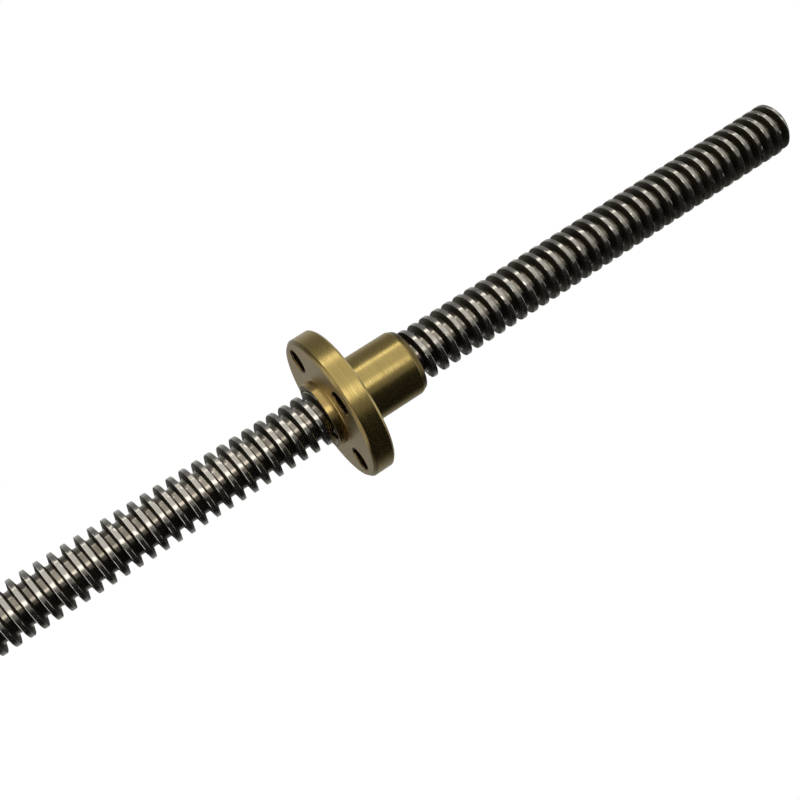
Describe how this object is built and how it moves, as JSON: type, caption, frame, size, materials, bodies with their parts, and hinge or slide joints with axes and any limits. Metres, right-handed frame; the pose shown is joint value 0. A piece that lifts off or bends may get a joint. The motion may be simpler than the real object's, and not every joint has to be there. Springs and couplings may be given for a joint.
{
  "type": "stepper motor with lead screw",
  "caption": "Square stepper motor whose shaft is a long trapezoidal lead screw that drives a flanged brass nut in a straight line.",
  "frame": {"origin": "centre of the motor's mounting face, on the screw's axis", "axes": "+Z along the screw, away from the motor; +X and +Y along the sides of the square motor, with the socket on the -Y side"},
  "size_m": [0.0424, 0.0427, 0.24],
  "materials": {
    "bell_aluminium": "satin cast and machined",
    "lamination_steel": "dark varnished stack",
    "insulator_plastic": "matte moulded",
    "phase_a_wire": "varnished copper wire",
    "phase_b_wire": "varnished copper wire",
    "tinned_metal": "tinned",
    "board_laminate": "solder-resist coated",
    "socket_plastic": "moulded",
    "bolt_steel": "zinc plated",
    "label_film": "blank printed film",
    "spring_steel": "polished strip",
    "bearing_steel": "ground",
    "ball_steel": "polished",
    "cage_plastic": "moulded",
    "rotor_steel": "ground",
    "magnet_alloy": "sintered",
    "spacer_metal": "turned",
    "screw_steel": "rolled, lightly oiled",
    "nut_brass": "satin turned"
  },
  "bodies": {
    "motor": {"front_end_bell": "bell_aluminium", "rear_end_bell": "bell_aluminium", "stator_core": "lamination_steel", "front_bobbin": "insulator_plastic", "rear_bobbin": "insulator_plastic", "phase_a_coils": "phase_a_wire", "phase_b_coils": "phase_b_wire", "winding_terminals": "tinned_metal", "terminal_board": "board_laminate", "connector_housing": "socket_plastic", "connector_pins": "tinned_metal", "motor_bolts": "bolt_steel", "rating_label": "label_film", "wave_washer": "spring_steel", "front_bearing_outer": "bearing_steel", "front_bearing_shields": "spring_steel", "rear_bearing_outer": "bearing_steel", "rear_bearing_shields": "spring_steel"},
    "rotor": {"lead_screw": "screw_steel", "rotor_cup_front": "rotor_steel", "rotor_cup_rear": "rotor_steel", "rotor_magnet": "magnet_alloy", "front_spacer": "spacer_metal", "rear_spacer": "spacer_metal", "front_bearing_inner": "bearing_steel", "rear_bearing_inner": "bearing_steel"},
    "front_ball_set": {"front_bearing_balls": "ball_steel", "front_bearing_cage": "cage_plastic"},
    "rear_ball_set": {"rear_bearing_balls": "ball_steel", "rear_bearing_cage": "cage_plastic"},
    "nut": {"lead_nut": "nut_brass"}
  },
  "joints": [
    {"name": "screw_spin", "type": "hinge", "parent": "motor", "child": "rotor", "pos_m": [0, 0, 0], "axis": [0, 0, 1], "range_deg": [-11970, 19170]},
    {"name": "nut_travel", "type": "slide", "parent": "motor", "child": "nut", "axis": [0, 0, 1], "range_m": [-0.1066, 0.0666]},
    {"name": "front_balls_orbit", "type": "hinge", "parent": "motor", "child": "front_ball_set", "pos_m": [0, 0, -0.002], "axis": [0, 0, 1], "range_deg": [-4392, 7032]},
    {"name": "rear_balls_orbit", "type": "hinge", "parent": "motor", "child": "rear_ball_set", "pos_m": [0, 0, -0.0353], "axis": [0, 0, 1], "range_deg": [-4392, 7032]}
  ],
  "couplings": [
    {"joint": "nut_travel", "follows": "screw_spin", "m_per_rad": -0.00031831},
    {"joint": "front_balls_orbit", "follows": "screw_spin", "ratio": 0.36667},
    {"joint": "rear_balls_orbit", "follows": "screw_spin", "ratio": 0.36667}
  ]
}
